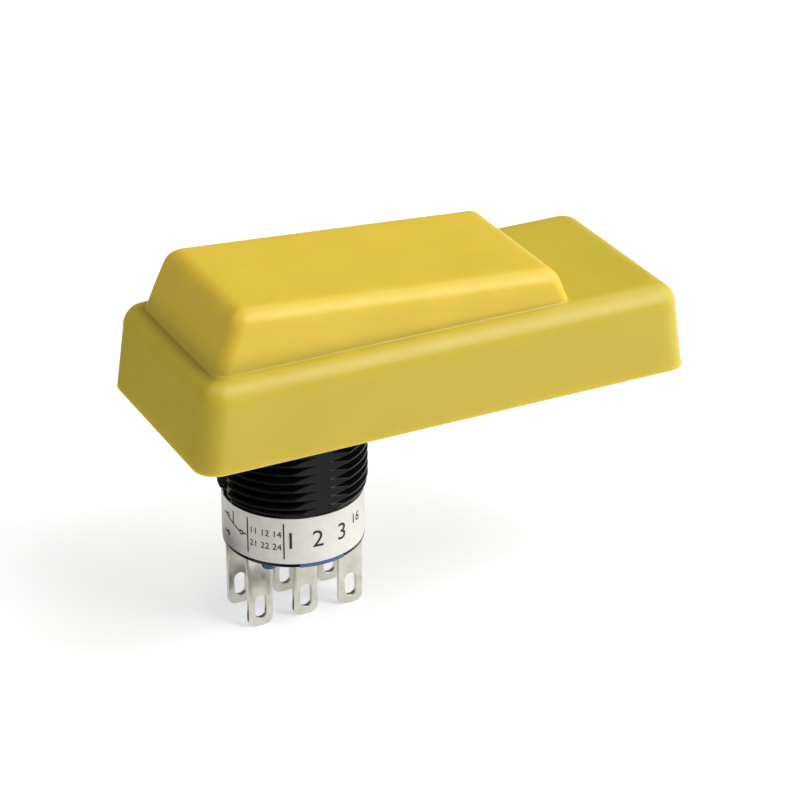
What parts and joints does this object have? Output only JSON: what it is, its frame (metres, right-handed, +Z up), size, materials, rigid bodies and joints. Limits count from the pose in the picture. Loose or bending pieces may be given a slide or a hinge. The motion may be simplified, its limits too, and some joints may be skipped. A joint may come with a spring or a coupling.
{
  "type": "safety enabling switch",
  "caption": "Panel-mounted enabling switch: a rubber boot with a raised press pad over a hinged lever, on a threaded barrel with a plunger, changeover contacts and blade terminals.",
  "frame": {"origin": "on the barrel's axis, in the plane where the boot meets the panel", "axes": "+Z up out of the panel, +X along the boot towards the lever's hinge, +Y to the back row of terminals"},
  "size_m": [0.0565, 0.0248, 0.0404],
  "materials": {
    "boot_rubber": "semi-matte yellow moulded silicone rubber",
    "base_plastic": "matte dark grey moulded nylon",
    "lever_plastic": "matte grey moulded nylon",
    "barrel_plastic": "glossy black moulded polyester",
    "label_film": "satin off-white label film",
    "acetal": "natural white acetal",
    "spring_steel": "drawn stainless spring wire",
    "pin_steel": "ground steel",
    "carriage_plastic": "matte beige moulded polyester",
    "wiper_bronze": "rolled phosphor bronze",
    "terminal_plastic": "satin blue moulded polyester",
    "terminal_metal": "stamped brass with satin nickel plating",
    "contact_silver": "silver alloy contact"
  },
  "bodies": {
    "housing": {"rubber_boot": "boot_rubber", "operator_base": "base_plastic", "hinge_pin": "pin_steel", "barrel_case": "barrel_plastic", "rating_label": "label_film", "guide_bush": "acetal", "blade_guide": "carriage_plastic", "terminal_base": "terminal_plastic", "return_spring": "spring_steel", "overtravel_spring": "spring_steel", "terminal_nc_front": "terminal_metal", "terminal_com_front": "terminal_metal", "terminal_no_front": "terminal_metal", "terminal_nc_back": "terminal_metal", "terminal_com_back": "terminal_metal", "terminal_no_back": "terminal_metal", "nc_contact_tips": "contact_silver", "no_contact_tips": "contact_silver", "com_contact_strips": "contact_silver"},
    "lever": {"lever": "lever_plastic"},
    "plunger": {"plunger": "acetal", "plunger_cap": "acetal", "contact_carriage": "carriage_plastic", "carriage_pin": "pin_steel", "wiper_front": "wiper_bronze", "wiper_back": "wiper_bronze", "wiper_rivets": "pin_steel"}
  },
  "joints": [
    {"name": "lever_press", "type": "hinge", "parent": "housing", "child": "lever", "pos_m": [0.0345, 0, 0.0053], "axis": [0, -1, 0], "range_deg": [0, 4.4], "deforming": ["rubber_boot"]},
    {"name": "plunger_slide", "type": "slide", "parent": "housing", "child": "plunger", "axis": [0, 0, -1], "range_m": [0, 0.00265], "stiffness_N_per_m": 3000, "springref_m": -0.001, "deforming": ["return_spring", "overtravel_spring"]}
  ],
  "couplings": [
    {"joint": "lever_press", "follows": "plunger_slide", "rad_per_m": 28.986}
  ]
}
